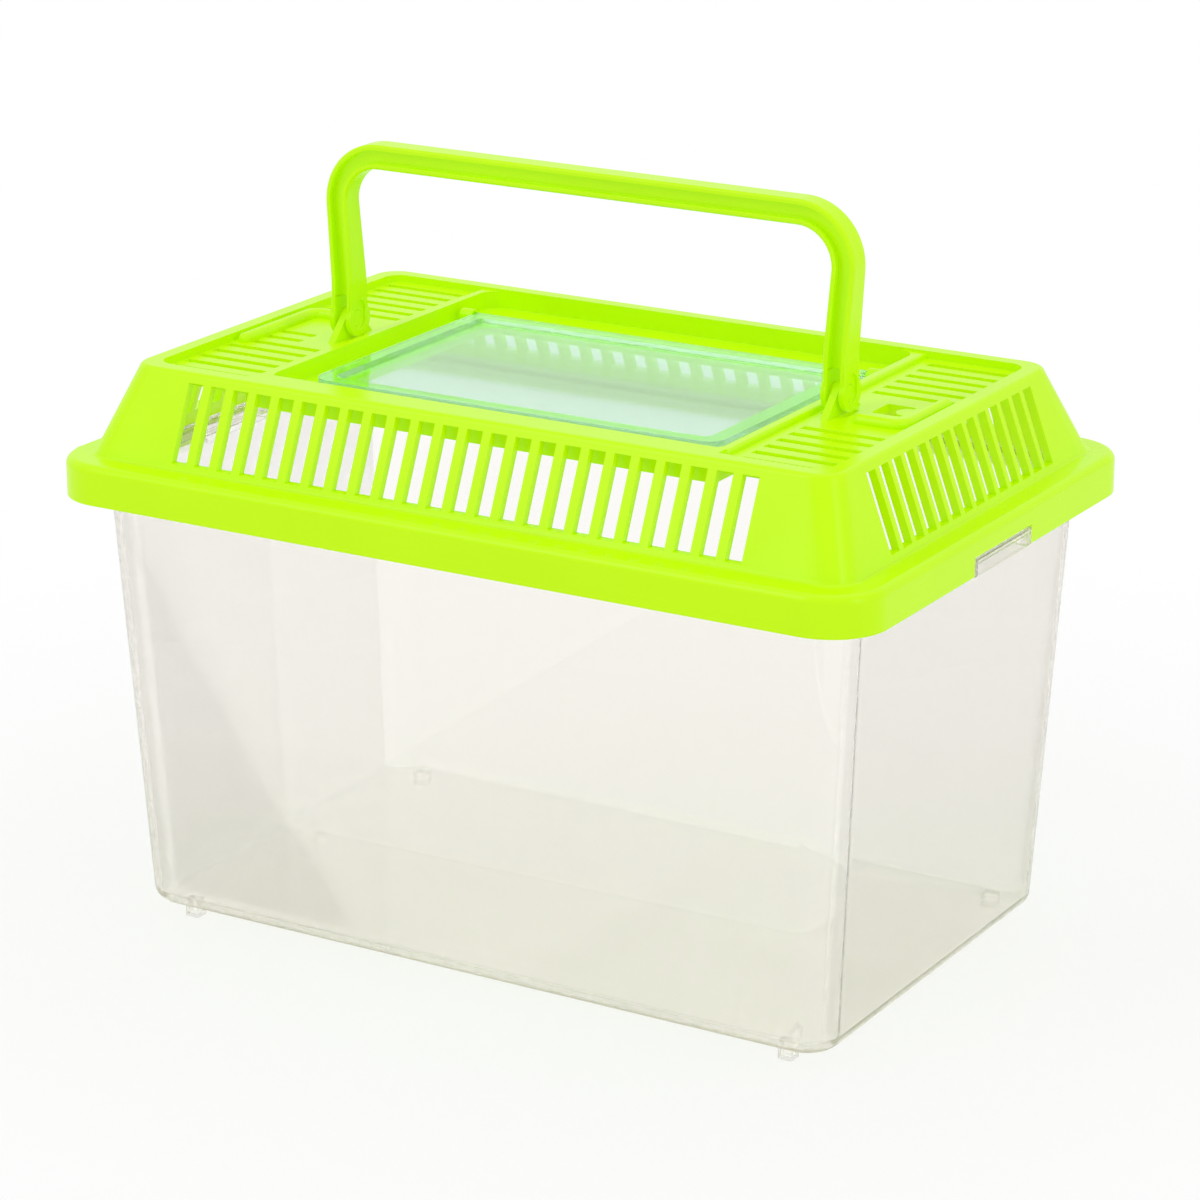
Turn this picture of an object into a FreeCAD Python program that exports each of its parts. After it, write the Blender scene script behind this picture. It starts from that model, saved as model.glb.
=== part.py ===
import FreeCAD, Part
import math
import os

# Small carry-about aquarium: a clear tub, a slotted lid that lifts off, a clear feeding
# hatch hinged on the lid, and a bail handle that folds flat onto the lid.
# Millimetres. X runs along the long side, Y from front to back, Z up, origin on the
# ground under the middle of the tub.

os.makedirs("parts", exist_ok=True)
V = FreeCAD.Vector

# driving heights, from the ground up
FOOT_HEIGHT = 3.5
SKIRT_BOTTOM = 116.05
SKIRT_HEIGHT = 10.35
CANOPY_HEIGHT = 22.95
LEDGE_TOP = SKIRT_BOTTOM + SKIRT_HEIGHT
CANOPY_TOP = LEDGE_TOP + CANOPY_HEIGHT

# how far a cutter runs past the face it cuts, and how close counts as the same place
OVERRUN = 1.0
SAME_PLACE = 1e-4

# tub
LEDGE_THICK = 2.2
SEAT_GAP = 0.4
TUB_TOP = LEDGE_TOP - LEDGE_THICK - SEAT_GAP
TUB_BASE_HALF_X = 101.17
TUB_BASE_HALF_Y = 61.45
TUB_DRAFT_X = 0.0569
TUB_DRAFT_Y = 0.0395
TUB_CORNER = 9.6
TUB_WALL = 2.0
TUB_BOTTOM_ROUND = 4.5
TUB_HEEL_BEVEL = 1.6
RIM_REACH_X = 5.0
RIM_REACH_Y = 7.5
RIM_CORNER = 14.6
RIM_THICK = 1.8
RIM_LIP_DROP = 5.6
RIM_LIP_WALL = 1.5
RIM_EDGE_BEVEL = 0.6
FOOT_X = 88.4
FOOT_Y = 54.9
FOOT_HALF = 2.1
FOOT_CORNER = 0.7
FOOT_ROOT = 0.5
TAB_HALF_WIDTH = 15.4
TAB_REACH_X = 116.3
TAB_BOTTOM = SKIRT_BOTTOM - 0.25
TAB_TOP = SKIRT_BOTTOM + 4.45
TAB_WALL = 1.8
TAB_EDGE_ROUND = 0.6

# lid: skirt, ledge and sloping canopy
LID_WALL = 2.2
SKIRT_HALF_X = 116.0
SKIRT_HALF_Y = 76.7
SKIRT_CORNER = 15.0
LEDGE_BEVEL = 1.3
CANOPY_TOP_HALF_X = 100.25
CANOPY_TOP_HALF_Y = 59.15
CANOPY_SLOPE_X = 0.368
CANOPY_SLOPE_Y = 0.4456
CANOPY_CORNER = 8.0
CANOPY_TOP_ROUND = 1.6
NOTCH_GAP = 0.4
NOTCH_HALF_WIDTH = TAB_HALF_WIDTH + NOTCH_GAP
NOTCH_TOP = TAB_TOP + NOTCH_GAP

# lid: slots in the canopy walls
FRONT_SLOTS = 24
FRONT_PITCH = 6.883
SIDE_SLOTS = 14
SIDE_PITCH = 6.515
SLOT_WIDTH = 4.4
SLOT_LOW = LEDGE_TOP + 1.65
SLOT_HIGH = CANOPY_TOP - 2.35
SLOT_OUTWARD = 3.0
SLOT_INWARD = 3.4

# lid: top deck, rim, kerbs and sunken tray for the hatch
WELL_HALF_X = 95.6
WELL_HALF_Y = 54.5
WELL_CORNER = 4.5
WELL_WALL = 1.4
WELL_WALL_DROP = 0.8
DECK_TOP = CANOPY_TOP - 2.0
DECK_THICK = 2.2
DECK_BOTTOM = DECK_TOP - DECK_THICK
KERB_INNER_X = 64.6
KERB_WIDTH = 2.6
KERB_TOP = CANOPY_TOP - 0.6
KERB_ROUND = 0.8
TRAY_FRONT = -50.4
TRAY_FLOOR = CANOPY_TOP - 5.2
TRAY_THICK = 2.0
TRAY_CORNER = 5.0
FEED_HALF_X = 51.5
FEED_HALF_Y = 33.5
FEED_CORNER = 6.0

# lid: slots, ridges and cut-outs in the deck
GRILLE_INNER_X = 70.4
GRILLE_OUTER_X = 94.6
GRILLE_WIDTH = 2.6
GRILLE_FIRST = 18.8
GRILLE_PITCH = 6.1
GRILLE_COUNT = 6
GRILLE_EXTRA_LEFT = 2
GRILLE_EXTRA_INNER_X = 80.0
RIDGE_RADIUS = 1.7
RIDGE_SIDES = 8
RIDGE_RISE = 0.5
RIDGE_BEND = 3.4
RIGHT_RIDGE = [(80.6, -8.0), (92.0, -8.0), (92.0, 15.0)]
LEFT_RIDGE = [(-80.6, 11.5), (-92.6, 11.5), (-92.6, -20.0)]
PORT_X = (78.6, 86.4)
PORT_Y = (1.6, 10.8)
TONGUE_RADIUS = 3.0
END_GAP_X = (93.9, 95.4)
END_GAP_Y = (-2.0, 8.0)

# handle: a bail whose legs lean in towards the pivots and stand straight below a knee
PIVOT_Y = -2.0
PIVOT_Z = DECK_TOP + 5.15
HANDLE_OUTER_X = 76.7
HANDLE_BAR = 6.4
HANDLE_TOP = PIVOT_Z + 47.2
HANDLE_HALF_DEPTH = 3.3
HANDLE_FLARE = 0.9
HANDLE_CORNER = 16.0
HANDLE_EDGE_BEVEL = 0.5
LEG_LEAN = math.radians(4.2)
KNEE_Z = PIVOT_Z + 10.0
KNEE_RADIUS = 20.0
FLANGE = 1.4
WEB = 2.5
TINE_SLOT_TOP = PIVOT_Z + 6.0
EYE_RADIUS = 4.7
EYE_RECESS_RADIUS = 2.5
EYE_RECESS_LOW = PIVOT_Z - 0.4
EYE_RECESS_HIGH = PIVOT_Z + 2.4
EYE_RECESS_DEPTH = 0.7
BEND_X = HANDLE_OUTER_X - HANDLE_CORNER
BEND_Z = HANDLE_TOP - HANDLE_CORNER
LEG_WIDTH = HANDLE_BAR / math.cos(LEG_LEAN)

# pivots of the handle, moulded on the lid
PIN_RADIUS = 2.1
PIN_CLEARANCE = 0.08
PIN_SETBACK = 0.7
BRACKET_THICK = 2.0
BRACKET_NOSE = 2.7
BRACKET_HALF_BASE = 9.4
BRACKET_ROOT = 0.6
WINDOW_OFFSET = 0.5
WINDOW_WIDTH = 1.9
WINDOW_HALF_LENGTH = 3.6

# hatch and its hinge
HATCH_HALF_X = 58.6
HATCH_FRONT = -39.8
HATCH_GAP = 0.3
HATCH_CORNER = 5.0
HATCH_BOTTOM = TRAY_FLOOR + HATCH_GAP
HATCH_EDGE = 2.2
HATCH_TOP = HATCH_BOTTOM + HATCH_EDGE
HATCH_PANEL = 1.2
HATCH_BORDER = 4.2
HATCH_BEVEL = 1.2
DISH_CORNER = 3.6
HINGE_Y = 38.4
HINGE_RADIUS = 1.1
HINGE_Z = HATCH_BOTTOM + HINGE_RADIUS
HINGE_CLEARANCE = 0.08
HINGE_PIN_SETBACK = 0.3
LUG_INNER_X = 59.1
LUG_WIDTH = 3.8
LUG_RADIUS = 1.9
LUG_ROOT = 0.5


def rounded_wire(half_x, half_y, radius, z, centre_y=0.0):
    """Closed rounded rectangle in a level plane: four corner arcs joined by straight sides."""
    x = half_x - radius
    y = half_y - radius
    d = radius * math.sqrt(0.5)
    starts = [(half_x, y), (-x, half_y), (-half_x, -y), (x, -half_y)]
    mids = [(x + d, y + d), (-x - d, y + d), (-x - d, -y - d), (x + d, -y - d)]
    ends = [(x, half_y), (-half_x, y), (-x, -half_y), (half_x, -y)]
    edges = []
    for i in range(4):
        following = starts[(i + 1) % 4]
        a = V(starts[i][0], starts[i][1] + centre_y, z)
        m = V(mids[i][0], mids[i][1] + centre_y, z)
        b = V(ends[i][0], ends[i][1] + centre_y, z)
        edges.append(Part.Arc(a, m, b).toShape())
        edges.append(Part.LineSegment(b, V(following[0], following[1] + centre_y, z)).toShape())
    return Part.Wire(edges)


def rounded_prism(half_x, half_y, radius, low, high, centre_y=0.0):
    face = Part.Face(rounded_wire(half_x, half_y, radius, low, centre_y))
    return face.extrude(V(0, 0, high - low))


def drafted_box(low_half, high_half, low, high, corner):
    """Solid with four flat leaning walls whose upright edges are rounded to one radius.

    The halves are half length and half width at the low and the high level.
    """
    low_x, low_y = low_half
    high_x, high_y = high_half
    wedge = Part.makeWedge(-low_x, low, -low_y, -high_y, -high_x, low_x, high, low_y, high_y, high_x)
    wedge.rotate(V(0, 0, 0), V(1, 0, 0), 90)
    upright = []
    for edge in wedge.Edges:
        if edge.BoundBox.ZLength > (high - low) / 2.0:
            upright.append(edge)
    return wedge.makeFillet(corner, upright)


def box(x0, x1, y0, y1, z0, z1):
    return Part.makeBox(x1 - x0, y1 - y0, z1 - z0, V(x0, y0, z0))


def polygon_prism(points, direction):
    return Part.Face(Part.makePolygon(points + [points[0]])).extrude(direction)


def cylinder_x(radius, x0, x1, y, z):
    return Part.makeCylinder(radius, x1 - x0, V(x0, y, z), V(1, 0, 0))


def level_edges(shape, z, low_reach=0.0):
    """Edges in one level plane whose ring has at least the given half length."""
    found = []
    for edge in shape.Edges:
        bb = edge.BoundBox
        if abs(bb.ZMin - z) > SAME_PLACE or abs(bb.ZMax - z) > SAME_PLACE:
            continue
        across = max(abs(bb.YMin), abs(bb.YMax)) + SKIRT_HALF_X - SKIRT_HALF_Y
        reach = max(abs(bb.XMin), abs(bb.XMax), across)
        if reach >= low_reach:
            found.append(edge)
    return found


def leg_line(bend_radius):
    """Right-hand edge of the bail, from the middle of its top bar to the pivot height.

    A list of runs: two points are a straight run and three are an arc.
    """
    half = LEG_LEAN / 2.0
    mid = math.pi / 4.0 - half
    bend_start = (BEND_X, BEND_Z + bend_radius)
    bend_mid = (BEND_X + bend_radius * math.cos(mid), BEND_Z + bend_radius * math.sin(mid))
    bend_end = (BEND_X + bend_radius * math.cos(LEG_LEAN), BEND_Z - bend_radius * math.sin(LEG_LEAN))
    knee_x = bend_end[0] - (bend_end[1] - KNEE_Z) * math.tan(LEG_LEAN)
    knee_low = KNEE_Z - KNEE_RADIUS * math.tan(half)
    knee_start = (knee_x + KNEE_RADIUS * (1.0 - math.cos(LEG_LEAN)),
                  knee_low + KNEE_RADIUS * math.sin(LEG_LEAN))
    knee_mid = (knee_x + KNEE_RADIUS * (1.0 - math.cos(half)), knee_low + KNEE_RADIUS * math.sin(half))
    knee_end = (knee_x, knee_low)
    return [[bend_start, bend_mid, bend_end], [bend_end, knee_start],
            [knee_start, knee_mid, knee_end], [knee_end, (knee_x, PIVOT_Z)]]


# the pivots stand under the middle of the straight feet of the handle's legs
PIVOT_X = leg_line(HANDLE_CORNER)[-1][-1][0] - LEG_WIDTH / 2.0


def tub_half(z, inset=0.0):
    """Half length and half width of the tub's drafted outside at a height."""
    rise = z - FOOT_HEIGHT
    return (TUB_BASE_HALF_X + TUB_DRAFT_X * rise - inset,
            TUB_BASE_HALF_Y + TUB_DRAFT_Y * rise - inset)


def canopy_half(z, inset=0.0):
    """Half length and half width of the canopy's sloping outside at a height."""
    drop = CANOPY_TOP - z
    return (CANOPY_TOP_HALF_X + CANOPY_SLOPE_X * drop - inset,
            CANOPY_TOP_HALF_Y + CANOPY_SLOPE_Y * drop - inset)


def tub_rim():
    """Flat rim round the tub's mouth with a lip turned down at its outer edge."""
    half_x, half_y = tub_half(TUB_TOP)
    half_x += RIM_REACH_X
    half_y += RIM_REACH_Y
    lip_bottom = TUB_TOP - RIM_LIP_DROP
    rim = rounded_prism(half_x, half_y, RIM_CORNER, lip_bottom, TUB_TOP)
    rim = rim.makeChamfer(RIM_EDGE_BEVEL, level_edges(rim, TUB_TOP))
    under = rounded_prism(half_x - RIM_LIP_WALL, half_y - RIM_LIP_WALL, RIM_CORNER - RIM_LIP_WALL,
                          lip_bottom - OVERRUN, TUB_TOP - RIM_THICK)
    return rim.cut(under)


def thumb_tab():
    """Hollow push tab on the rim's right-hand end, open underneath."""
    root = tub_half(TUB_TOP)[0] + RIM_REACH_X - RIM_LIP_WALL
    tab = box(root, TAB_REACH_X, -TAB_HALF_WIDTH, TAB_HALF_WIDTH, TAB_BOTTOM, TAB_TOP)
    outer_edges = []
    for edge in tab.Edges:
        if edge.BoundBox.XMin > TAB_REACH_X - OVERRUN:
            outer_edges.append(edge)
    tab = tab.makeFillet(TAB_EDGE_ROUND, outer_edges)
    hollow = box(root + RIM_LIP_WALL, TAB_REACH_X - TAB_WALL, -TAB_HALF_WIDTH + TAB_WALL,
                 TAB_HALF_WIDTH - TAB_WALL, TAB_BOTTOM - OVERRUN, TAB_TOP - TAB_WALL)
    below_lip = box(root - OVERRUN, root + RIM_LIP_WALL, -TAB_HALF_WIDTH + TAB_WALL,
                    TAB_HALF_WIDTH - TAB_WALL, TAB_BOTTOM - OVERRUN, TUB_TOP - RIM_LIP_DROP)
    return tab.cut(Part.makeCompound([hollow, below_lip]))


def build_tub():
    """Drafted clear box with a turned-down rim, two thumb tabs and four square feet."""
    outer = drafted_box(tub_half(FOOT_HEIGHT), tub_half(TUB_TOP), FOOT_HEIGHT, TUB_TOP, TUB_CORNER)
    outer = outer.makeFillet(TUB_BOTTOM_ROUND, level_edges(outer, FOOT_HEIGHT))
    floor = FOOT_HEIGHT + TUB_WALL
    inner = drafted_box(tub_half(floor, TUB_WALL), tub_half(TUB_TOP, TUB_WALL), floor, TUB_TOP,
                        TUB_CORNER - TUB_WALL)
    inner = inner.makeChamfer(TUB_HEEL_BEVEL, level_edges(inner, floor))

    right_tab = thumb_tab()
    left_tab = right_tab.mirror(V(0, 0, 0), V(1, 0, 0))
    body = outer.fuse([tub_rim(), right_tab, left_tab]).cut(inner)
    foot = rounded_prism(FOOT_HALF, FOOT_HALF, FOOT_CORNER, 0, FOOT_HEIGHT + FOOT_ROOT)
    for x in (-FOOT_X, FOOT_X):
        for y in (-FOOT_Y, FOOT_Y):
            body = body.fuse(foot.translated(V(x, y, 0)))
    return body.removeSplitter()


def canopy_slots():
    """Cutters for the slots: one row in each canopy wall, each following the wall's slope."""
    x_low, y_low = canopy_half(SLOT_LOW)
    x_high, y_high = canopy_half(SLOT_HIGH)
    cutters = []
    for side in (-1, 1):
        for i in range(FRONT_SLOTS):
            x = (i - (FRONT_SLOTS - 1) / 2.0) * FRONT_PITCH - SLOT_WIDTH / 2.0
            points = [V(x, side * (y_low + SLOT_OUTWARD), SLOT_LOW),
                      V(x, side * (y_high + SLOT_OUTWARD), SLOT_HIGH),
                      V(x, side * (y_high - SLOT_INWARD), SLOT_HIGH),
                      V(x, side * (y_low - SLOT_INWARD), SLOT_LOW)]
            cutters.append(polygon_prism(points, V(SLOT_WIDTH, 0, 0)))
        for i in range(SIDE_SLOTS):
            y = (i - (SIDE_SLOTS - 1) / 2.0) * SIDE_PITCH - SLOT_WIDTH / 2.0
            points = [V(side * (x_low + SLOT_OUTWARD), y, SLOT_LOW),
                      V(side * (x_high + SLOT_OUTWARD), y, SLOT_HIGH),
                      V(side * (x_high - SLOT_INWARD), y, SLOT_HIGH),
                      V(side * (x_low - SLOT_INWARD), y, SLOT_LOW)]
            cutters.append(polygon_prism(points, V(0, SLOT_WIDTH, 0)))
    return Part.makeCompound(cutters)


def deck_cut(x0, x1, y0, y1):
    """Cutter that goes right through the deck."""
    return box(x0, x1, y0, y1, DECK_BOTTOM - OVERRUN, DECK_TOP + OVERRUN)


def grille_slots():
    """Cutters for the slots in the deck at both ends of the lid."""
    half = GRILLE_WIDTH / 2.0
    cutters = []
    for i in range(GRILLE_COUNT):
        for side in (-1, 1):
            y = side * (GRILLE_FIRST + GRILLE_PITCH * i)
            cutters.append(deck_cut(GRILLE_INNER_X, GRILLE_OUTER_X, y - half, y + half))
            cutters.append(deck_cut(-GRILLE_OUTER_X, -GRILLE_INNER_X, y - half, y + half))
    for i in range(GRILLE_EXTRA_LEFT):
        y = -GRILLE_FIRST + GRILLE_PITCH * (i + 1)
        cutters.append(deck_cut(-GRILLE_OUTER_X, -GRILLE_EXTRA_INNER_X, y - half, y + half))
    return Part.makeCompound(cutters)


def deck_cut_outs():
    """Cutters for the tongued port, the end gap and the windows under the handle's tines."""
    port = deck_cut(PORT_X[0], PORT_X[1], PORT_Y[0], PORT_Y[1])
    tongue_at = V(PORT_X[1], (PORT_Y[0] + PORT_Y[1]) / 2.0, DECK_BOTTOM - 2 * OVERRUN)
    port = port.cut(Part.makeCylinder(TONGUE_RADIUS, DECK_THICK + 4 * OVERRUN, tongue_at))
    cutters = [port, deck_cut(END_GAP_X[0], END_GAP_X[1], END_GAP_Y[0], END_GAP_Y[1])]
    near = BRACKET_THICK / 2.0 + WINDOW_OFFSET
    far = near + WINDOW_WIDTH
    front = PIVOT_Y - WINDOW_HALF_LENGTH
    back = PIVOT_Y + WINDOW_HALF_LENGTH
    for pivot in (-PIVOT_X, PIVOT_X):
        cutters.append(deck_cut(pivot + near, pivot + far, front, back))
        cutters.append(deck_cut(pivot - far, pivot - near, front, back))
    return Part.makeCompound(cutters)


def tab_notches():
    """Cutters for the notch in each end of the skirt that a thumb tab shows through."""
    inner = SKIRT_HALF_X - LID_WALL - NOTCH_GAP
    outer = SKIRT_HALF_X + OVERRUN
    cutters = []
    for x0, x1 in ((inner, outer), (-outer, -inner)):
        cutters.append(box(x0, x1, -NOTCH_HALF_WIDTH, NOTCH_HALF_WIDTH, SKIRT_BOTTOM - OVERRUN, NOTCH_TOP))
    return Part.makeCompound(cutters)


def ridge(points):
    """Half-sunk eight-sided bar on the deck along a path with one rounded bend."""
    start, corner, end = [V(x, y, DECK_TOP + RIDGE_RISE) for x, y in points]
    into = (start - corner).normalize() * RIDGE_BEND
    away = (end - corner).normalize() * RIDGE_BEND
    centre = corner + into + away
    middle = centre + (corner - centre).normalize() * RIDGE_BEND
    path = Part.Wire([Part.LineSegment(start, corner + into).toShape(),
                      Part.Arc(corner + into, middle, corner + away).toShape(),
                      Part.LineSegment(corner + away, end).toShape()])
    across = (corner - start).cross(V(0, 0, 1)).normalize()
    corners = []
    for i in range(RIDGE_SIDES + 1):
        turn = 2.0 * math.pi * (i + 0.5) / RIDGE_SIDES
        outward = across * math.cos(turn) + V(0, 0, math.sin(turn))
        corners.append(start + outward * RIDGE_RADIUS)
    return path.makePipeShell([Part.makePolygon(corners)], True, False)


def bracket(x):
    """Triangular pivot plate with a round nose and a pin through it, moulded on the deck."""
    base = DECK_TOP - BRACKET_ROOT
    rise = PIVOT_Z - base
    slant = math.hypot(BRACKET_HALF_BASE, rise)
    lean = math.atan2(rise, BRACKET_HALF_BASE) + math.asin(BRACKET_NOSE / slant)
    nose_y = BRACKET_NOSE * math.sin(lean)
    nose_z = PIVOT_Z + BRACKET_NOSE * math.cos(lean)
    x0 = x - BRACKET_THICK / 2.0
    points = [V(x0, PIVOT_Y - BRACKET_HALF_BASE, base), V(x0, PIVOT_Y - nose_y, nose_z),
              V(x0, PIVOT_Y + nose_y, nose_z), V(x0, PIVOT_Y + BRACKET_HALF_BASE, base)]
    plate = polygon_prism(points, V(BRACKET_THICK, 0, 0))
    nose = cylinder_x(BRACKET_NOSE, x0, x0 + BRACKET_THICK, PIVOT_Y, PIVOT_Z)
    reach = LEG_WIDTH / 2.0 - PIN_SETBACK
    pin = cylinder_x(PIN_RADIUS, x - reach, x + reach, PIVOT_Y, PIVOT_Z)
    return plate.fuse([nose, pin])


def hinge_lug(x0):
    """Round-topped ear on the tray floor, from x0 to the right, that holds one hatch pin."""
    x1 = x0 + LUG_WIDTH
    ear = cylinder_x(LUG_RADIUS, x0, x1, HINGE_Y, HINGE_Z)
    foot = box(x0, x1, HINGE_Y - LUG_RADIUS, HINGE_Y + LUG_RADIUS, TRAY_FLOOR - LUG_ROOT, HINGE_Z)
    return ear.fuse(foot)


def lid_shell():
    """Skirt, ledge and canopy as one thin shell, open below and with a well in its top."""
    skirt = rounded_prism(SKIRT_HALF_X, SKIRT_HALF_Y, SKIRT_CORNER, SKIRT_BOTTOM, LEDGE_TOP)
    canopy = drafted_box(canopy_half(LEDGE_TOP), canopy_half(CANOPY_TOP), LEDGE_TOP, CANOPY_TOP,
                         CANOPY_CORNER)
    outer = skirt.fuse(canopy).removeSplitter()
    outer = outer.makeChamfer(LEDGE_BEVEL, level_edges(outer, LEDGE_TOP, SKIRT_HALF_X - OVERRUN))
    outer = outer.makeFillet(CANOPY_TOP_ROUND, level_edges(outer, CANOPY_TOP))

    hollow_skirt = rounded_prism(SKIRT_HALF_X - LID_WALL, SKIRT_HALF_Y - LID_WALL,
                                 SKIRT_CORNER - LID_WALL, SKIRT_BOTTOM - OVERRUN,
                                 LEDGE_TOP - LEDGE_THICK)
    low = LEDGE_TOP - LEDGE_THICK - OVERRUN
    level_wall_x = LID_WALL * math.hypot(1.0, CANOPY_SLOPE_X)
    hollow_canopy = drafted_box(canopy_half(low, level_wall_x), canopy_half(DECK_TOP, level_wall_x),
                                low, DECK_TOP, CANOPY_CORNER - LID_WALL)
    well = rounded_prism(WELL_HALF_X, WELL_HALF_Y, WELL_CORNER, DECK_BOTTOM, CANOPY_TOP + OVERRUN)
    return outer.cut(hollow_skirt.fuse(hollow_canopy)).cut(well)


def lid_top():
    """Deck with its rim wall, two kerbs, a front lip and the sunken tray with the feeding opening."""
    pan_x = WELL_HALF_X + WELL_WALL
    pan_y = WELL_HALF_Y + WELL_WALL
    pan = rounded_prism(pan_x, pan_y, WELL_CORNER + WELL_WALL, DECK_BOTTOM, CANOPY_TOP - WELL_WALL_DROP)
    pan = pan.cut(rounded_prism(WELL_HALF_X, WELL_HALF_Y, WELL_CORNER, DECK_TOP, CANOPY_TOP + OVERRUN))
    kerb_outer_x = KERB_INNER_X + KERB_WIDTH
    tray_bottom = TRAY_FLOOR - TRAY_THICK
    block = box(-kerb_outer_x, kerb_outer_x, -pan_y, pan_y, tray_bottom, DECK_TOP)
    kerbs = box(-kerb_outer_x, kerb_outer_x, -WELL_HALF_Y, WELL_HALF_Y, DECK_BOTTOM, KERB_TOP)
    outer_edges = []
    for edge in kerbs.Edges:
        if edge.BoundBox.ZMin > DECK_TOP and edge.BoundBox.YLength > WELL_HALF_Y:
            outer_edges.append(edge)
    kerbs = kerbs.makeFillet(KERB_ROUND, outer_edges)
    lip = box(-kerb_outer_x, kerb_outer_x, -pan_y, TRAY_FRONT, DECK_BOTTOM, CANOPY_TOP)
    tray_half_y = (WELL_HALF_Y - TRAY_FRONT) / 2.0
    tray = rounded_prism(KERB_INNER_X, tray_half_y, TRAY_CORNER, TRAY_FLOOR, CANOPY_TOP + OVERRUN,
                         WELL_HALF_Y - tray_half_y)
    feed = rounded_prism(FEED_HALF_X, FEED_HALF_Y, FEED_CORNER, tray_bottom - OVERRUN, TRAY_FLOOR + OVERRUN)
    return pan.fuse([block, kerbs, lip]).cut(tray).cut(feed)


def build_lid():
    """Slotted lid in one moulding, with the pivots of the handle and the hatch on top."""
    lid = lid_shell().fuse(lid_top())
    for cutters in (canopy_slots(), grille_slots(), deck_cut_outs(), tab_notches()):
        lid = lid.cut(cutters)
    lugs = [hinge_lug(LUG_INNER_X), hinge_lug(-LUG_INNER_X - LUG_WIDTH)]
    lid = lid.fuse([ridge(RIGHT_RIDGE), ridge(LEFT_RIDGE), bracket(-PIVOT_X), bracket(PIVOT_X)] + lugs)
    bore_reach = LUG_INNER_X + LUG_WIDTH + OVERRUN
    bore = cylinder_x(HINGE_RADIUS + HINGE_CLEARANCE, -bore_reach, bore_reach, HINGE_Y, HINGE_Z)
    return lid.cut(bore).removeSplitter()


def bail_face(inset, y):
    """Upside-down U in the XZ plane; inset moves both edges of the bar towards its middle."""
    outer = leg_line(HANDLE_CORNER - inset)
    inner = leg_line(HANDLE_CORNER - HANDLE_BAR + inset)
    right = outer + [[outer[-1][-1], inner[-1][-1]]]
    right += [run[::-1] for run in inner[::-1]]
    left = [[(-x, z) for x, z in run[::-1]] for run in right[::-1]]
    left_start, left_end = left[0][0], left[-1][-1]
    runs = right + [[right[-1][-1], left_start]] + left + [[left_end, right[0][0]]]
    edges = []
    for run in runs:
        points = [V(x, y, z) for x, z in run]
        curve = Part.Arc(*points) if len(points) == 3 else Part.LineSegment(*points)
        edges.append(curve.toShape())
    return Part.Face(Part.Wire(edges))


def flare_prism():
    """Side outline of the handle along its whole length: level above, flaring to the pivots."""
    low = HANDLE_HALF_DEPTH + HANDLE_FLARE
    high_z = HANDLE_TOP + OVERRUN
    x = -HANDLE_OUTER_X - OVERRUN
    outline = [(low, PIVOT_Z), (HANDLE_HALF_DEPTH, BEND_Z), (HANDLE_HALF_DEPTH, high_z)]
    points = [V(x, PIVOT_Y + reach, z) for reach, z in outline]
    points += [V(x, PIVOT_Y - reach, z) for reach, z in outline[::-1]]
    return polygon_prism(points, V(-2.0 * x, 0, 0))


def eye_recess(x0, x1):
    """Upright oval sunk into the outer face of a tine, round the pin."""
    low = cylinder_x(EYE_RECESS_RADIUS, x0, x1, PIVOT_Y, EYE_RECESS_LOW)
    high = cylinder_x(EYE_RECESS_RADIUS, x0, x1, PIVOT_Y, EYE_RECESS_HIGH)
    middle = box(x0, x1, PIVOT_Y - EYE_RECESS_RADIUS, PIVOT_Y + EYE_RECESS_RADIUS,
                 EYE_RECESS_LOW, EYE_RECESS_HIGH)
    return low.fuse([high, middle]).removeSplitter()


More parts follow.
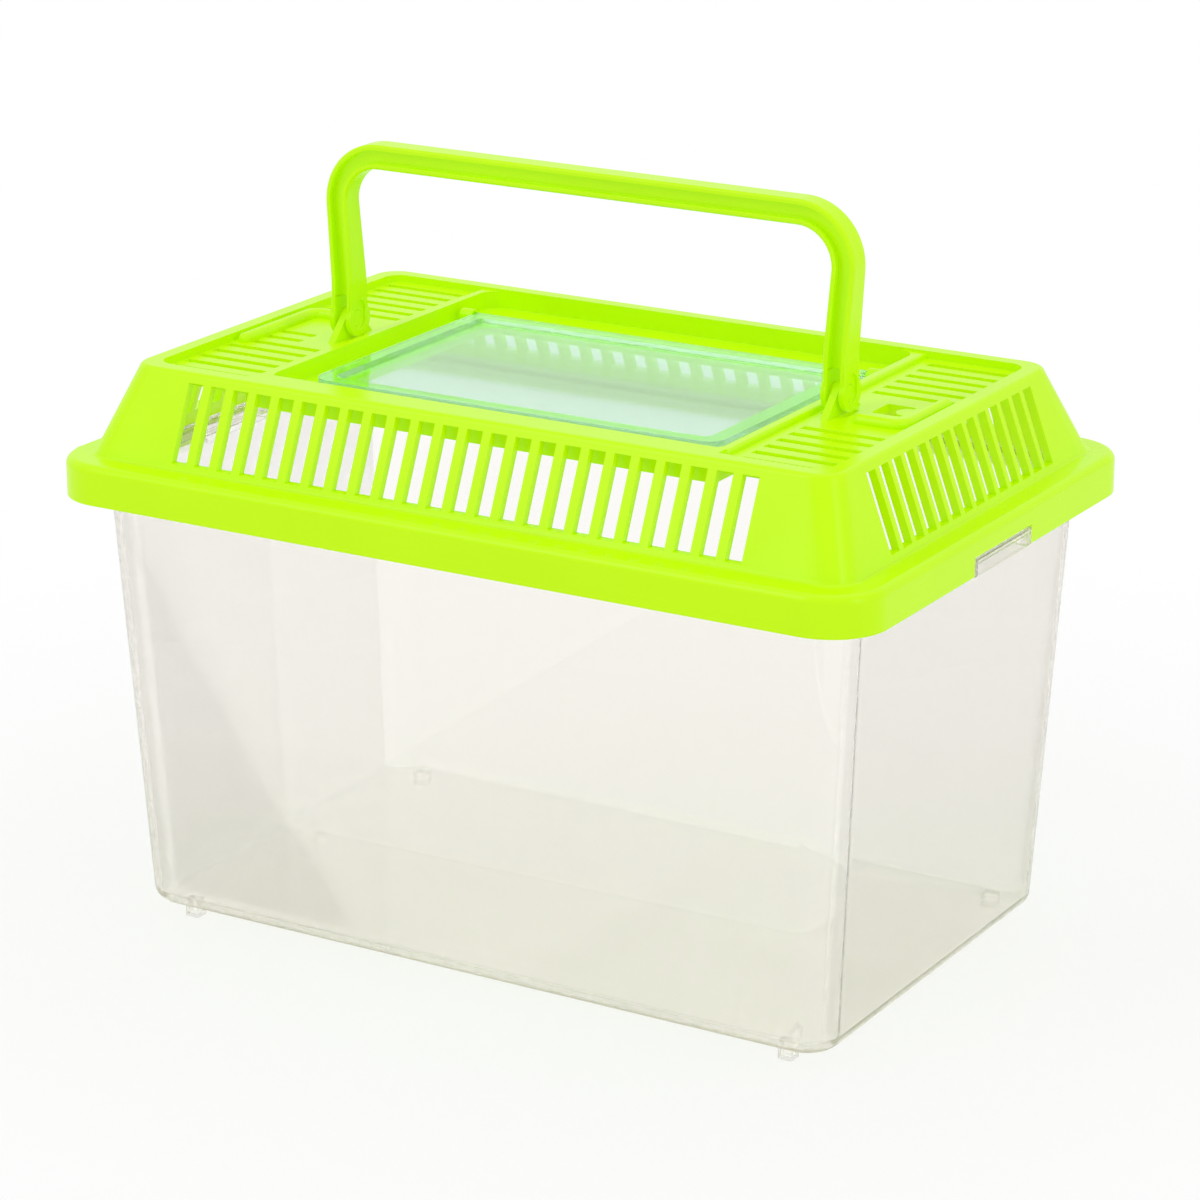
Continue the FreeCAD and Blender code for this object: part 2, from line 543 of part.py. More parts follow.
def build_handle():
    """Bail of I section whose flanges run on as two eyed tines at each foot."""
    deep = HANDLE_HALF_DEPTH + HANDLE_FLARE + OVERRUN
    bail = bail_face(0.0, PIVOT_Y - deep).extrude(V(0, 2.0 * deep, 0)).common(flare_prism())
    long_edges = []
    for edge in bail.Edges:
        bb = edge.BoundBox
        on_back = bb.YMin > PIVOT_Y + HANDLE_HALF_DEPTH - SAME_PLACE
        on_front = bb.YMax < PIVOT_Y - HANDLE_HALF_DEPTH + SAME_PLACE
        is_end = bb.ZMax < PIVOT_Z + SAME_PLACE
        is_seam = abs(bb.ZMin - BEND_Z) < SAME_PLACE and abs(bb.ZMax - BEND_Z) < SAME_PLACE
        if (on_back or on_front) and not is_end and not is_seam:
            long_edges.append(edge)
    bail = bail.makeChamfer(HANDLE_EDGE_BEVEL, long_edges)
    front = bail_face(FLANGE, PIVOT_Y - deep).extrude(V(0, deep - WEB / 2.0, 0))
    back = bail_face(FLANGE, PIVOT_Y + WEB / 2.0).extrude(V(0, deep - WEB / 2.0, 0))
    bail = bail.cut(Part.makeCompound([front, back]))

    half_gap = LEG_WIDTH / 2.0 - FLANGE
    slot_low = PIVOT_Z - EYE_RADIUS - OVERRUN
    hole = PIN_RADIUS + PIN_CLEARANCE
    eyes = []
    cuts = []
    for pivot in (-PIVOT_X, PIVOT_X):
        x0 = pivot - LEG_WIDTH / 2.0
        x1 = pivot + LEG_WIDTH / 2.0
        eyes.append(cylinder_x(EYE_RADIUS, x0, x0 + FLANGE, PIVOT_Y, PIVOT_Z))
        eyes.append(cylinder_x(EYE_RADIUS, x1 - FLANGE, x1, PIVOT_Y, PIVOT_Z))
        cuts.append(box(pivot - half_gap, pivot + half_gap, PIVOT_Y - deep, PIVOT_Y + deep,
                        slot_low, TINE_SLOT_TOP))
        cuts.append(cylinder_x(hole, x0 - OVERRUN, x1 + OVERRUN, PIVOT_Y, PIVOT_Z))
        cuts.append(eye_recess(x0 - OVERRUN, x0 + EYE_RECESS_DEPTH))
        cuts.append(eye_recess(x1 - EYE_RECESS_DEPTH, x1 + OVERRUN))
    bail = bail.fuse(eyes)
    for cut in cuts:
        bail = bail.cut(cut)
    return bail.removeSplitter()


def build_hatch():
    """Clear panel with a raised border; its back edge is a round bar that ends in two pins."""
    middle = (HATCH_FRONT + HINGE_Y) / 2.0
    half_y = (HINGE_Y - HATCH_FRONT) / 2.0
    plate = rounded_prism(HATCH_HALF_X, half_y, HATCH_CORNER, HATCH_BOTTOM, HATCH_TOP, middle)
    square_back = box(-HATCH_HALF_X, HATCH_HALF_X, HINGE_Y - HATCH_CORNER, HINGE_Y, HATCH_BOTTOM, HATCH_TOP)
    pin_reach = LUG_INNER_X + LUG_WIDTH - HINGE_PIN_SETBACK
    bar = cylinder_x(HINGE_RADIUS, -pin_reach, pin_reach, HINGE_Y, HINGE_Z)
    high_x = HATCH_HALF_X - HATCH_BORDER
    high_y = half_y - HATCH_BORDER
    dish = drafted_box((high_x - HATCH_BEVEL, high_y - HATCH_BEVEL), (high_x, high_y),
                       HATCH_BOTTOM + HATCH_PANEL, HATCH_TOP, DISH_CORNER)
    dish.translate(V(0, middle, 0))
    return plate.fuse([square_back, bar]).cut(dish).removeSplitter()


PIECES = {
    "tub": build_tub,
    "lid": build_lid,
    "handle": build_handle,
    "hatch": build_hatch,
}

for name, build in PIECES.items():
    shape = build()
    if len(shape.Solids) != 1:
        raise ValueError(name + " came out as " + str(len(shape.Solids)) + " solids")
    solid = shape.Solids[0]
    if not solid.isValid():
        raise ValueError(name + " is not a valid solid")
    solid.exportStep("parts/" + name + ".step")
    bb = solid.BoundBox
    print("%-8s volume %9.0f  x %.2f..%.2f  y %.2f..%.2f  z %.2f..%.2f  faces %d" % (
        name, solid.Volume, bb.XMin, bb.XMax, bb.YMin, bb.YMax, bb.ZMin, bb.ZMax, len(solid.Faces)))
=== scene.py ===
import math

import bmesh
import bpy
from mathutils import Matrix, Vector


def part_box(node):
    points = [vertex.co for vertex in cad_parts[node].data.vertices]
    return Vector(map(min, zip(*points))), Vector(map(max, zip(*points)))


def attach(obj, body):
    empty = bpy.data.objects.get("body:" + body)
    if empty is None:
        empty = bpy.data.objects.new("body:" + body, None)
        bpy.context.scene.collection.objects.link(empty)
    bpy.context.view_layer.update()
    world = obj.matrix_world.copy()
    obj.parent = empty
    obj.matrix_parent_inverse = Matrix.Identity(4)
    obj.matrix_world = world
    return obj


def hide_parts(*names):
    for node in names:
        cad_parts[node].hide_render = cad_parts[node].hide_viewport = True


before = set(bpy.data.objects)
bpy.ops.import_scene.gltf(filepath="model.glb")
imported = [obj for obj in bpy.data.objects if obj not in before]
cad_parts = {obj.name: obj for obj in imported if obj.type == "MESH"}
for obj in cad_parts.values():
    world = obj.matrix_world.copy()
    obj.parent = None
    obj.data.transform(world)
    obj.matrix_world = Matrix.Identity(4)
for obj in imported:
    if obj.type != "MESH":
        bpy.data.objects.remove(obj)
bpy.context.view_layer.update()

bl_info = {
    "name": "Small aquarium",
    "version": (1, 0, 0),
    "blender": (4, 5, 0),
    "location": "3D View > Sidebar > Aquarium",
    "description": "Finishes a small carry-about aquarium and sets it in a white studio",
    "category": "Object",
}

MM = 0.001

# corners closer than this are one corner, and faces within this angle are one flat face
MERGE_DISTANCE = 0.002 * MM
FLAT_ANGLE = math.radians(0.6)

# edges that turn by more than this are moulded edges; gentler ones belong to a curve
EDGE_ANGLE = math.radians(26.0)

# the lid's ledge, measured up from the lower edge of its skirt
LEDGE_RISE = 10.35 * MM
LEDGE_BEVEL = 1.3 * MM
LEDGE_MARGIN = 0.1 * MM

# the two ridges on the deck: corners of their paths, and their middle line below the pivots' top
RIDGE_PATHS = (((80.6, -8.0), (92.0, -8.0), (92.0, 15.0)),
               ((-80.6, 11.5), (-92.6, 11.5), (-92.6, -20.0)))
RIDGE_BELOW_TOP = 7.35 * MM
RIDGE_SIDES = 20
RIDGE_BEND_STEPS = 10

# steps across each rounded edge, and how much larger faces count for the shading of their edges
ROUND_STEPS = 3
FLAT_WEIGHT = 100

# both plastics bend light alike
PLASTIC_IOR = 1.5

# lime plastic: wide clouds of a slightly deeper colour, and a fine grain in gloss and height
LIME_CLOUD_SCALE = 38.0
LIME_CLOUD_DETAIL = 2.0
LIME_DEEPEST = 0.94
LIME_GRAIN_SCALE = 2600.0
LIME_GRAIN_DETAIL = 3.0
LIME_GRAIN_ROUGHNESS = 0.10
LIME_CLOUD_ROUGHNESS = 0.06
LIME_GRAIN_HEIGHT = 0.03 * MM
LIME_GRAIN_STRENGTH = 0.35

# clear plastics: a slow wave in their faces and a slight haze in their gloss
CLEAR_WAVE_SCALE = 22.0
CLEAR_WAVE_DETAIL = 1.0
CLEAR_WAVE_HEIGHT = 0.3 * MM
CLEAR_WAVE_STRENGTH = 0.2
CLEAR_HAZE_SCALE = 300.0
CLEAR_HAZE_DETAIL = 3.0
CLEAR_ROUGHNESS = 0.02
CLEAR_HAZE_ROUGHNESS = 0.01

# floor: half its side, its colour, and the ring over which it turns to plain white where it is seen
FLOOR_HALF = 12.0
FLOOR_COLOUR = (0.93, 0.93, 0.93, 1.0)
FLOOR_RING = (0.16, 0.38)
FLOOR_WHITE_SHARE = (0.75, 1.0)
WHITE = (1.0, 1.0, 1.0, 1.0)

# lamps: where each stands, in metres, and its width and height; all face one point
LAMP_AIM = (0.0, 0.0, 0.1)
KEY_PLACE = (-0.9, -1.3, 1.5)
KEY_SIZE = (0.7, 1.2)
SIDE_PLACE = (1.7, -0.3, 0.7)
SIDE_SIZE = (0.35, 1.4)
TOP_PLACE = (0.1, 0.3, 1.9)
TOP_SIZE = (1.6, 1.6)

SENSOR_WIDTH = 36.0


class AquariumForm(bpy.types.PropertyGroup):
    """Small forms that the moulds leave on the pieces."""

    edge_round: bpy.props.FloatProperty(
        name="Edge round", description="Radius left on crisp moulded edges",
        default=0.12 * MM, min=0.0, unit="LENGTH", precision=5)
    ledge_round: bpy.props.FloatProperty(
        name="Ledge round", description="Width of the soft round along the lid's ledge",
        default=0.8 * MM, min=0.0, unit="LENGTH", precision=5)
    ridge_radius: bpy.props.FloatProperty(
        name="Ridge radius", description="Radius of the two round ridges on the lid's deck",
        default=1.75 * MM, min=0.0, unit="LENGTH", precision=5)
    ridge_bend: bpy.props.FloatProperty(
        name="Ridge bend", description="Radius of the bend in the middle line of each ridge",
        default=3.4 * MM, min=0.0, unit="LENGTH", precision=5)


class AquariumFinish(bpy.types.PropertyGroup):
    """Colours and gloss of the plastics."""

    lime: bpy.props.FloatVectorProperty(
        name="Lime", description="Colour of the lid and the handle",
        subtype="COLOR", size=3, min=0.0, max=1.0, default=(0.48, 0.92, 0.0))
    lime_roughness: bpy.props.FloatProperty(
        name="Lime roughness", description="Softness of the gloss on the lid and the handle",
        subtype="FACTOR", min=0.0, max=1.0, default=0.25)
    lime_gloss: bpy.props.FloatProperty(
        name="Lime gloss", description="Strength of the reflections on the lid and the handle",
        subtype="FACTOR", min=0.0, max=1.0, default=0.22)
    # painted glow: a constant yellow emission on the lid and handle that lightens their shaded faces and
    # insides and makes their shade yellower
    painted_glow_colour: bpy.props.FloatVectorProperty(
        name="Glow colour", description="Colour of the light that the lime's fluorescent dye gives back",
        subtype="COLOR", size=3, min=0.0, max=1.0, default=(1.0, 0.85, 0.0))
    painted_glow: bpy.props.FloatProperty(
        name="Glow", description="Strength of the light that the lime's fluorescent dye gives back",
        subtype="FACTOR", min=0.0, max=1.0, default=0.12)
    tub_tint: bpy.props.FloatVectorProperty(
        name="Tub tint", description="Tint of light that goes through one wall of the tub",
        subtype="COLOR", size=3, min=0.0, max=1.0, default=(0.988, 0.981, 0.966))
    tub_edge: bpy.props.FloatVectorProperty(
        name="Tub edge", description="Colour that the clear plastic takes on over a long way",
        subtype="COLOR", size=3, min=0.0, max=1.0, default=(0.80, 0.70, 0.42))
    hatch_tint: bpy.props.FloatVectorProperty(
        name="Hatch tint", description="Tint of light that goes through the hatch",
        subtype="COLOR", size=3, min=0.0, max=1.0, default=(0.78, 1.0, 0.86))
    clear_depth: bpy.props.FloatProperty(
        name="Clear depth", description="How fast the edge colour builds up, per metre",
        min=0.0, default=18.0)
    straight_share: bpy.props.FloatProperty(
        name="Straight share", description="Share of light that the clear plastic does not bend",
        subtype="FACTOR", min=0.0, max=1.0, default=0.25)


class AquariumStudio(bpy.types.PropertyGroup):
    """Camera and lamps."""

    azimuth: bpy.props.FloatProperty(
        name="Azimuth", description="Camera's turn to the right of the front wall",
        subtype="ANGLE", default=math.radians(30.744))
    elevation: bpy.props.FloatProperty(
        name="Elevation", description="Camera's height above the horizon",
        subtype="ANGLE", default=math.radians(18.173))
    distance: bpy.props.FloatProperty(
        name="Distance", description="From the camera to the point it looks at",
        unit="LENGTH", default=1.0714)
    aim: bpy.props.FloatVectorProperty(
        name="Aim", description="Point that the camera looks at",
        subtype="XYZ", unit="LENGTH", size=3, default=(0.0, 0.0044, 0.0852))
    lens: bpy.props.FloatProperty(
        name="Lens", description="Focal length on a 36 mm sensor, in millimetres",
        default=124.45)
    key_power: bpy.props.FloatProperty(
        name="Key lamp", description="Power of the large lamp above the left front",
        unit="POWER", default=6.5)
    side_power: bpy.props.FloatProperty(
        name="Side lamp", description="Power of the tall lamp at the right",
        unit="POWER", default=4.1)
    top_power: bpy.props.FloatProperty(
        name="Top lamp", description="Power of the lamp overhead",
        unit="POWER", default=4.1)
    room_light: bpy.props.FloatProperty(
        name="Room light", description="Even light from all round",
        min=0.0, default=0.76)
    mirror_light: bpy.props.FloatProperty(
        name="Mirror light", description="Brightness of the room in reflections",
        min=0.0, default=0.9)


class Value:
    """A shader socket that takes part in arithmetic: each operation adds a Math node."""

    def __init__(self, recipe, socket):
        self.recipe = recipe
        self.socket = socket

    def _math(self, operation, first, second):
        return self.recipe.node("ShaderNodeMath", {"operation": operation}, {0: first, 1: second})

    def __add__(self, other):
        return self._math("ADD", self, other)

    def __radd__(self, other):
        return self._math("ADD", other, self)

    def __sub__(self, other):
        return self._math("SUBTRACT", self, other)

    def __rsub__(self, other):
        return self._math("SUBTRACT", other, self)

    def __mul__(self, other):
        return self._math("MULTIPLY", self, other)

    def __rmul__(self, other):
        return self._math("MULTIPLY", other, self)

    def __or__(self, other):
        """The larger of two values, so that masks join."""
        return self._math("MAXIMUM", self, other)


class Recipe:
    """Nodes of one material or of the world."""

    def __init__(self, tree):
        self.tree = tree
        self.tree.nodes.clear()

    def node(self, kind, settings=None, inputs=None, output=0):
        """Adds a node: its settings come first, then the values or links of its sockets.

        The result is one output of the node, or nothing for a tree's last node.
        """
        made = self.tree.nodes.new(kind)
        for name, value in (settings or {}).items():
            setattr(made, name, value)
        for key, value in (inputs or {}).items():
            if isinstance(value, Value):
                self.tree.links.new(value.socket, made.inputs[key])
            else:
                made.inputs[key].default_value = value
        return Value(self, made.outputs[output]) if made.outputs else None

    def noise(self, scale, detail):
        """Grain on the piece's own coordinates, from 0 to 1."""
        place = self.node("ShaderNodeTexCoord", output="Object")
        sockets = {"Vector": place, "Scale": scale, "Detail": detail}
        return self.node("ShaderNodeTexNoise", None, sockets)

    def mix_colour(self, factor, first, second):
        """Colour between two others."""
        return self.node("ShaderNodeMix", {"data_type": "RGBA"}, {0: factor, 6: first, 7: second}, 2)

    def bump(self, height, distance, strength):
        """Surface normal raised by a height of the given depth."""
        return self.node("ShaderNodeBump", None,
                         {"Height": height, "Distance": distance, "Strength": strength})


def new_material(name):
    """A material with an empty node tree, and the recipe that fills it."""
    material = bpy.data.materials.new(name)
    material.use_nodes = True
    return material, Recipe(material.node_tree)


def opaque(colour):
    return (colour[0], colour[1], colour[2], 1.0)


def lime_plastic(finish):
    """Opaque lime moulding: even colour, soft gloss, a very fine spark-eroded grain, and a painted glow
    that lightens its shade.
    """
    material, recipe = new_material("lime_moulding")
    deeper = [LIME_DEEPEST * part for part in finish.lime]
    cloud = recipe.noise(LIME_CLOUD_SCALE, LIME_CLOUD_DETAIL)
    grain = recipe.noise(LIME_GRAIN_SCALE, LIME_GRAIN_DETAIL)
    roughness = (finish.lime_roughness + LIME_GRAIN_ROUGHNESS * (grain - 0.5)
                 + LIME_CLOUD_ROUGHNESS * (cloud - 0.5))
    shader = recipe.node("ShaderNodeBsdfPrincipled", None, {
        "Base Color": recipe.mix_colour(cloud, opaque(deeper), opaque(finish.lime)),
        "Roughness": roughness,
        "Normal": recipe.bump(grain, LIME_GRAIN_HEIGHT, LIME_GRAIN_STRENGTH),
        "Specular IOR Level": finish.lime_gloss,
        # painted glow: a constant yellow emission that lightens the lime's shade and turns it yellower
        "Emission Color": opaque(finish.painted_glow_colour),
        "Emission Strength": finish.painted_glow,
        "IOR": PLASTIC_IOR,
    })
    recipe.node("ShaderNodeOutputMaterial", None, {"Surface": shader})
    return material


def clear_plastic(name, tint, edge, finish):
    """Clear moulding: polished, faintly wavy, with the edge colour where light goes far in it.

    Light on its way to other surfaces goes straight through.
    """
    material, recipe = new_material(name)
    wave = recipe.noise(CLEAR_WAVE_SCALE, CLEAR_WAVE_DETAIL)
    haze = recipe.noise(CLEAR_HAZE_SCALE, CLEAR_HAZE_DETAIL)
    shader = recipe.node("ShaderNodeBsdfPrincipled", None, {
        "Base Color": opaque(tint),
        "Roughness": CLEAR_ROUGHNESS + CLEAR_HAZE_ROUGHNESS * haze,
        "Normal": recipe.bump(wave, CLEAR_WAVE_HEIGHT, CLEAR_WAVE_STRENGTH),
        "Transmission Weight": 1.0,
        "IOR": PLASTIC_IOR,
    })
    straight = recipe.node("ShaderNodeBsdfTransparent", None, {"Color": opaque(tint)})
    shadow = recipe.node("ShaderNodeLightPath", output="Is Shadow Ray")
    diffuse = recipe.node("ShaderNodeLightPath", output="Is Diffuse Ray")
    unbent = shadow | diffuse | finish.straight_share
    surface = recipe.node("ShaderNodeMixShader", None, {0: unbent, 1: shader, 2: straight})
    inside = recipe.node("ShaderNodeVolumeAbsorption", None,
                         {"Color": opaque(edge), "Density": finish.clear_depth})
    recipe.node("ShaderNodeOutputMaterial", None, {"Surface": surface, "Volume": inside})
    return material


def rounded_copy(node_name, piece_name, width, measure, wide_band=None, wide_width=0.0):
    """Copy of a node with its corners joined and its crisp edges rounded off.

    The width counts as the bevel's measure. Level edges inside wide_band, a pair of heights,
    get wide_width instead.
    """
    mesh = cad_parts[node_name].data.copy()
    mesh.name = piece_name
    form = bmesh.new()
    form.from_mesh(mesh)
    bmesh.ops.remove_doubles(form, verts=form.verts, dist=MERGE_DISTANCE)
    bmesh.ops.dissolve_limit(form, angle_limit=FLAT_ANGLE, verts=form.verts, edges=form.edges)
    bmesh.ops.connect_verts_concave(form, faces=form.faces)
    widest = max(width, wide_width)
    weight = form.edges.layers.float.new("bevel_weight_edge")
    for edge in form.edges:
        if len(edge.link_faces) != 2 or edge.calc_face_angle() < EDGE_ANGLE:
            continue
        heights = [corner.co.z for corner in edge.verts]
        is_wide = wide_band and wide_band[0] < min(heights) and max(heights) < wide_band[1]
        edge[weight] = (wide_width if is_wide else width) / widest
    for face in form.faces:
        face.smooth = True
    form.to_mesh(mesh)
    form.free()

    piece = bpy.data.objects.new(piece_name, mesh)
    bpy.context.scene.collection.objects.link(piece)
    bevel = piece.modifiers.new("moulded edges", "BEVEL")
    bevel.limit_method = "WEIGHT"
    bevel.width = widest
    bevel.segments = ROUND_STEPS
    bevel.offset_type = measure
    bevel.loop_slide = False
    bevel.use_clamp_overlap = False
    flatten = piece.modifiers.new("flat faces", "WEIGHTED_NORMAL")
    flatten.weight = FLAT_WEIGHT
    return piece


def dress(piece, material, node_name):
    """Puts a finished copy in its node's place."""
    piece.data.materials.clear()
    piece.data.materials.append(material)
    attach(piece, node_name)
    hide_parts(node_name)


def ridge_tree():
    """Node tree that sweeps round ridges with round ends along the paths it is given."""
    tree = bpy.data.node_groups.new("deck_ridges", "GeometryNodeTree")
    sockets = [("Paths", "NodeSocketGeometry"), ("Radius", "NodeSocketFloat"),
               ("Bend", "NodeSocketFloat"), ("Sides", "NodeSocketInt"),
               ("Finish", "NodeSocketMaterial")]
    for name, kind in sockets:
        tree.interface.new_socket(name=name, in_out="INPUT", socket_type=kind)
    tree.interface.new_socket(name="Geometry", in_out="OUTPUT", socket_type="NodeSocketGeometry")

    given = tree.nodes.new("NodeGroupInput")
    path = tree.nodes.new("GeometryNodeMeshToCurve")
    bend = tree.nodes.new("GeometryNodeFilletCurve")
    section = tree.nodes.new("GeometryNodeCurvePrimitiveCircle")
    sweep = tree.nodes.new("GeometryNodeCurveToMesh")
    ends = tree.nodes.new("GeometryNodeCurveEndpointSelection")
    ball = tree.nodes.new("GeometryNodeMeshUVSphere")
    caps = tree.nodes.new("GeometryNodeInstanceOnPoints")
    join = tree.nodes.new("GeometryNodeJoinGeometry")
    real = tree.nodes.new("GeometryNodeRealizeInstances")
    smooth = tree.nodes.new("GeometryNodeSetShadeSmooth")
    paint = tree.nodes.new("GeometryNodeSetMaterial")
    result = tree.nodes.new("NodeGroupOutput")
    bend.mode = "POLY"
    bend.inputs["Count"].default_value = RIDGE_BEND_STEPS
    links = [(given.outputs["Paths"], path.inputs["Mesh"]),
             (path.outputs["Curve"], bend.inputs["Curve"]),
             (given.outputs["Bend"], bend.inputs["Radius"]),
             (given.outputs["Radius"], section.inputs["Radius"]),
             (given.outputs["Sides"], section.inputs["Resolution"]),
             (bend.outputs["Curve"], sweep.inputs["Curve"]),
             (section.outputs["Curve"], sweep.inputs["Profile Curve"]),
             (given.outputs["Radius"], ball.inputs["Radius"]),
             (given.outputs["Sides"], ball.inputs["Segments"]),
             (bend.outputs["Curve"], caps.inputs["Points"]),
             (ends.outputs["Selection"], caps.inputs["Selection"]),
             (ball.outputs["Mesh"], caps.inputs["Instance"]),
             (sweep.outputs["Mesh"], join.inputs["Geometry"]),
             (caps.outputs["Instances"], join.inputs["Geometry"]),
             (join.outputs["Geometry"], real.inputs["Geometry"]),
             (real.outputs["Geometry"], smooth.inputs["Geometry"]),
             (smooth.outputs["Geometry"], paint.inputs["Geometry"]),
             (given.outputs["Finish"], paint.inputs["Material"]),
             (paint.outputs["Geometry"], result.inputs["Geometry"])]
    for source, target in links:
        tree.links.new(source, target)
    return tree


def path_mesh(name, paths, level):
    """Open paths of straight runs at one height, as edges."""
    corners = []
    edges = []
    for path in paths:
        for step, (x, y) in enumerate(path):
            if step:
                edges.append((len(corners) - 1, len(corners)))
            corners.append((x * MM, y * MM, level))
    mesh = bpy.data.meshes.new(name)
    mesh.from_pydata(corners, edges, [])
    return mesh


def swept_mesh(holder, tree, sizes):
    """Runs a node tree on an object with the given inputs and keeps the result as its plain mesh."""
    modifier = holder.modifiers.new(tree.name, "NODES")
    modifier.node_group = tree
    for item in tree.interface.items_tree:
        if item.name in sizes:
            modifier[item.identifier] = sizes[item.name]
    graph = bpy.context.evaluated_depsgraph_get()
    made = bpy.data.meshes.new_from_object(holder.evaluated_get(graph))
    if not made.polygons:
        raise RuntimeError(holder.name + " came out empty")
    holder.modifiers.clear()
    holder.data = made


class AQUARIUM_OT_tub(bpy.types.Operator):
    """Make the clear tub from its solid, with polished and softly rounded edges"""

    bl_idname = "aquarium.tub"
    bl_label = "Clear tub"

    def execute(self, context):
        form = context.scene.aquarium_form
        finish = context.scene.aquarium_finish
        tub = rounded_copy("tub", "tub_clear", form.edge_round, "OFFSET")
        material = clear_plastic("tub_moulding", finish.tub_tint, finish.tub_edge, finish)
        dress(tub, material, "tub")
        return {"FINISHED"}


class AQUARIUM_OT_lid(bpy.types.Operator):
    """Make the slotted lid from its solid, with a soft ledge and rounded edges"""

    bl_idname = "aquarium.lid"
    bl_label = "Slotted lid"

    def execute(self, context):
        form = context.scene.aquarium_form
        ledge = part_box("lid")[0].z + LEDGE_RISE
        band = (ledge - LEDGE_BEVEL - LEDGE_MARGIN, ledge + LEDGE_MARGIN)
        lid = rounded_copy("lid", "lid_moulding", form.edge_round, "ABSOLUTE", band, form.ledge_round)
        dress(lid, lime_plastic(context.scene.aquarium_finish), "lid")
        return {"FINISHED"}


class AQUARIUM_OT_handle(bpy.types.Operator):
    """Make the bail handle from its solid, with rounded edges"""

    bl_idname = "aquarium.handle"
    bl_label = "Bail handle"

    def execute(self, context):
        form = context.scene.aquarium_form
        handle = rounded_copy("handle", "bail_handle", form.edge_round, "OFFSET")
        dress(handle, bpy.data.materials["lime_moulding"], "handle")
        return {"FINISHED"}


class AQUARIUM_OT_hatch(bpy.types.Operator):
    """Make the clear feeding hatch from its solid"""

    bl_idname = "aquarium.hatch"
    bl_label = "Feeding hatch"

    def execute(self, context):
        form = context.scene.aquarium_form
        finish = context.scene.aquarium_finish
        hatch = rounded_copy("hatch", "hatch_panel", form.edge_round, "ABSOLUTE")
        material = clear_plastic("hatch_moulding", finish.hatch_tint, finish.hatch_tint, finish)
        dress(hatch, material, "hatch")
        return {"FINISHED"}


class AQUARIUM_OT_ridges(bpy.types.Operator):
    """Sweep the two round ridges along their paths on the lid's deck"""

    bl_idname = "aquarium.ridges"
    bl_label = "Deck ridges"

    def execute(self, context):
        form = context.scene.aquarium_form
        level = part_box("lid")[1].z - RIDGE_BELOW_TOP
        ridges = bpy.data.objects.new("deck_ridges", path_mesh("deck_ridges", RIDGE_PATHS, level))
        context.scene.collection.objects.link(ridges)
        swept_mesh(ridges, ridge_tree(), {
            "Radius": form.ridge_radius, "Bend": form.ridge_bend, "Sides": RIDGE_SIDES,
            "Finish": bpy.data.materials["lime_moulding"]})
        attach(ridges, "lid")
        return {"FINISHED"}


def studio_floor():
    """White floor that keeps the shadow close to the object and is plain white further off."""
    half = FLOOR_HALF
    mesh = bpy.data.meshes.new("floor")
    corners = [(-half, -half, 0.0), (half, -half, 0.0), (half, half, 0.0), (-half, half, 0.0)]
    mesh.from_pydata(corners, [], [(0, 1, 2, 3)])
    floor = bpy.data.objects.new("floor", mesh)
    bpy.context.scene.collection.objects.link(floor)

    material, recipe = new_material("floor_white")
    place = recipe.node("ShaderNodeTexCoord", output="Object")
    away = recipe.node("ShaderNodeVectorMath", {"operation": "LENGTH"}, {0: place}, "Value")
    far = recipe.node("ShaderNodeMapRange", {"interpolation_type": "SMOOTHSTEP"},
                      {"Value": away, "From Min": FLOOR_RING[0], "From Max": FLOOR_RING[1],
                       "To Min": FLOOR_WHITE_SHARE[0], "To Max": FLOOR_WHITE_SHARE[1]})
    lit = recipe.node("ShaderNodeBsdfDiffuse", None, {"Color": FLOOR_COLOUR})
    white = recipe.node("ShaderNodeEmission", None, {"Color": WHITE, "Strength": 1.0})
    shader = recipe.node("ShaderNodeMixShader", None, {0: far * seen_rays(recipe), 1: lit, 2: white})
    recipe.node("ShaderNodeOutputMaterial", None, {"Surface": shader})
    mesh.materials.append(material)


def seen_rays(recipe):
    """1 for rays that come from the camera, straight or through clear plastic."""
    camera = recipe.node("ShaderNodeLightPath", output="Is Camera Ray")
    through = recipe.node("ShaderNodeLightPath", output="Is Transmission Ray")
    return camera | through


def studio_world(studio):
    """Even white room: plain white where it is seen, dimmer in reflections and as a light."""
    world = bpy.data.worlds.new("white_room")
    world.use_nodes = True
    recipe = Recipe(world.node_tree)
    seen = seen_rays(recipe)
    glossy = recipe.node("ShaderNodeLightPath", output="Is Glossy Ray")
    mirrored = glossy * (1.0 - seen)
    level = (studio.room_light + (1.0 - studio.room_light) * seen
             + (studio.mirror_light - studio.room_light) * mirrored)
    room = recipe.node("ShaderNodeBackground", None, {"Color": WHITE, "Strength": level})
    recipe.node("ShaderNodeOutputWorld", None, {"Surface": room})
    bpy.context.scene.world = world


def lamp(name, place, aim, size, power):
    """Rectangular soft lamp that faces a point."""
    light = bpy.data.lights.new(name, "AREA")
    light.shape = "RECTANGLE"
    light.size, light.size_y = size
    light.energy = power
    holder = bpy.data.objects.new(name, light)
    bpy.context.scene.collection.objects.link(holder)
    towards = Vector(aim) - Vector(place)
    holder.matrix_world = Matrix.Translation(place) @ towards.to_track_quat("-Z", "Y").to_matrix().to_4x4()


def studio_camera(studio):
    """Camera at the photograph's angle."""
    back = Vector((math.sin(studio.azimuth) * math.cos(studio.elevation),
                   -math.cos(studio.azimuth) * math.cos(studio.elevation),
                   math.sin(studio.elevation)))
    data = bpy.data.cameras.new("camera")
    data.lens = studio.lens
    data.sensor_width = SENSOR_WIDTH
    camera = bpy.data.objects.new("camera", data)
    bpy.context.scene.collection.objects.link(camera)
    turn = (-back).to_track_quat("-Z", "Y").to_matrix().to_4x4()
    camera.matrix_world = Matrix.Translation(Vector(studio.aim) + studio.distance * back) @ turn
    bpy.context.scene.camera = camera


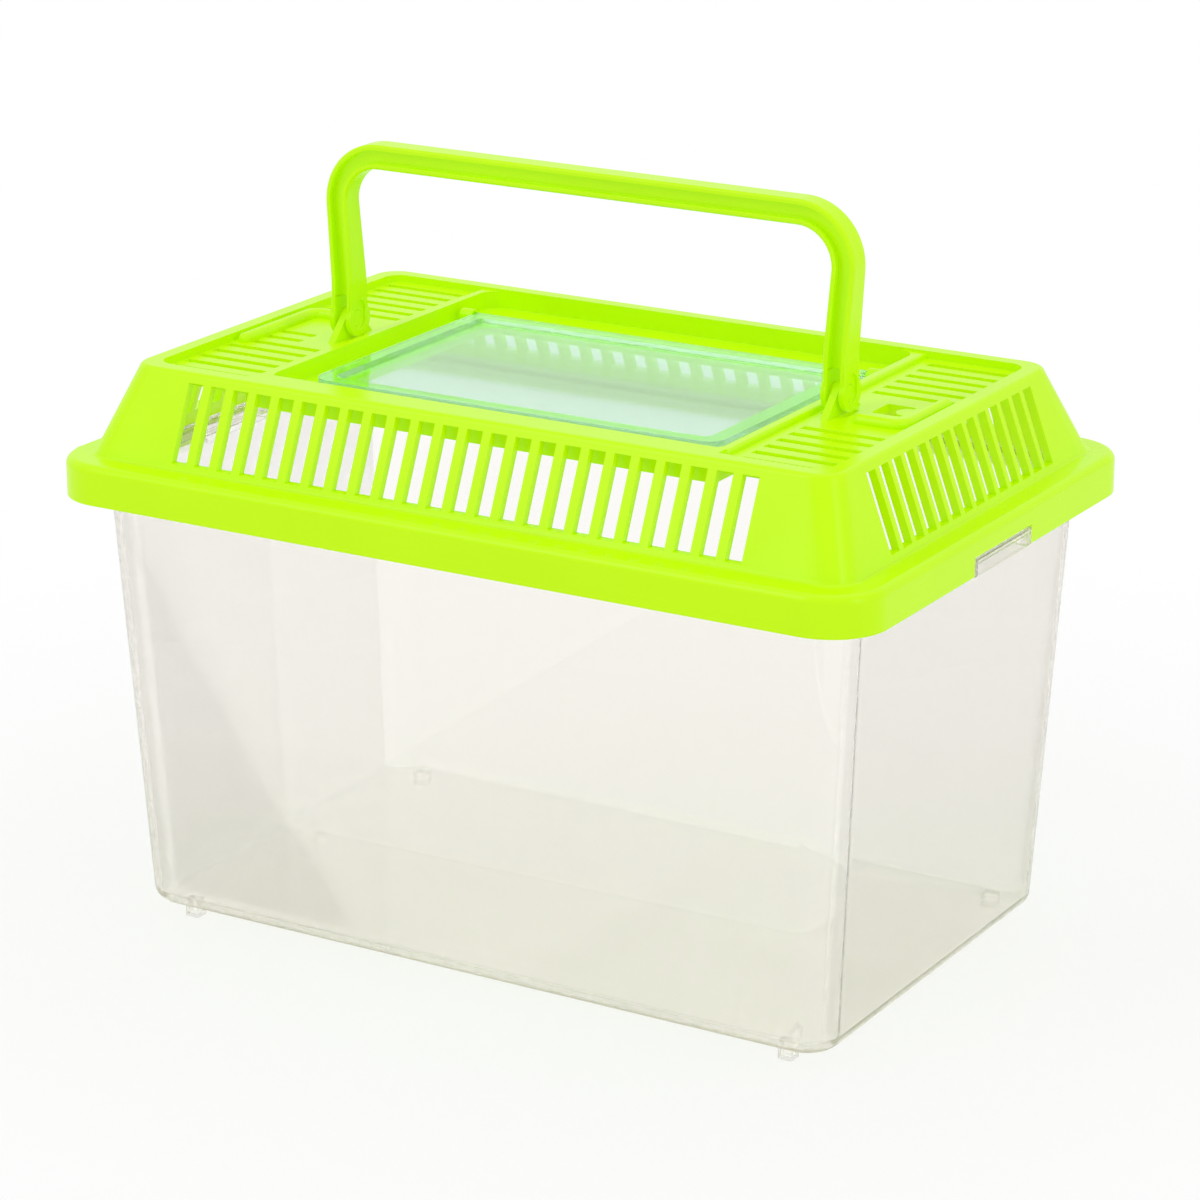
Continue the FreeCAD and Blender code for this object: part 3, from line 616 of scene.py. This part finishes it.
class AQUARIUM_OT_stage(bpy.types.Operator):
    """Set up the white floor, the soft lamps and the camera"""

    bl_idname = "aquarium.stage"
    bl_label = "White studio"

    def execute(self, context):
        studio = context.scene.aquarium_studio
        studio_floor()
        studio_world(studio)
        lamp("key_lamp", KEY_PLACE, LAMP_AIM, KEY_SIZE, studio.key_power)
        lamp("side_lamp", SIDE_PLACE, LAMP_AIM, SIDE_SIZE, studio.side_power)
        lamp("top_lamp", TOP_PLACE, LAMP_AIM, TOP_SIZE, studio.top_power)
        studio_camera(studio)
        context.scene.view_settings.view_transform = "Standard"
        return {"FINISHED"}


class AQUARIUM_PT_panel(bpy.types.Panel):
    """Settings and steps of the aquarium"""

    bl_idname = "AQUARIUM_PT_panel"
    bl_label = "Small aquarium"
    bl_space_type = "VIEW_3D"
    bl_region_type = "UI"
    bl_category = "Aquarium"

    def draw(self, context):
        scene = context.scene
        for group in (scene.aquarium_form, scene.aquarium_finish, scene.aquarium_studio):
            section = self.layout.box()
            for name in group.__annotations__:
                section.prop(group, name)
        for step in OPERATORS:
            self.layout.operator(step.bl_idname)


GROUPS = {"aquarium_form": AquariumForm, "aquarium_finish": AquariumFinish,
          "aquarium_studio": AquariumStudio}
OPERATORS = (AQUARIUM_OT_tub, AQUARIUM_OT_lid, AQUARIUM_OT_handle, AQUARIUM_OT_hatch,
             AQUARIUM_OT_ridges, AQUARIUM_OT_stage)


def register():
    for name, group in GROUPS.items():
        bpy.utils.register_class(group)
        setattr(bpy.types.Scene, name, bpy.props.PointerProperty(type=group))
    for step in OPERATORS:
        bpy.utils.register_class(step)
    bpy.utils.register_class(AQUARIUM_PT_panel)


def unregister():
    bpy.utils.unregister_class(AQUARIUM_PT_panel)
    for step in reversed(OPERATORS):
        bpy.utils.unregister_class(step)
    for name, group in GROUPS.items():
        delattr(bpy.types.Scene, name)
        bpy.utils.unregister_class(group)


def main():
    register()
    bpy.ops.aquarium.tub()
    bpy.ops.aquarium.lid()
    bpy.ops.aquarium.handle()
    bpy.ops.aquarium.hatch()
    bpy.ops.aquarium.ridges()
    bpy.ops.aquarium.stage()


if __name__ == "__main__":
    main()
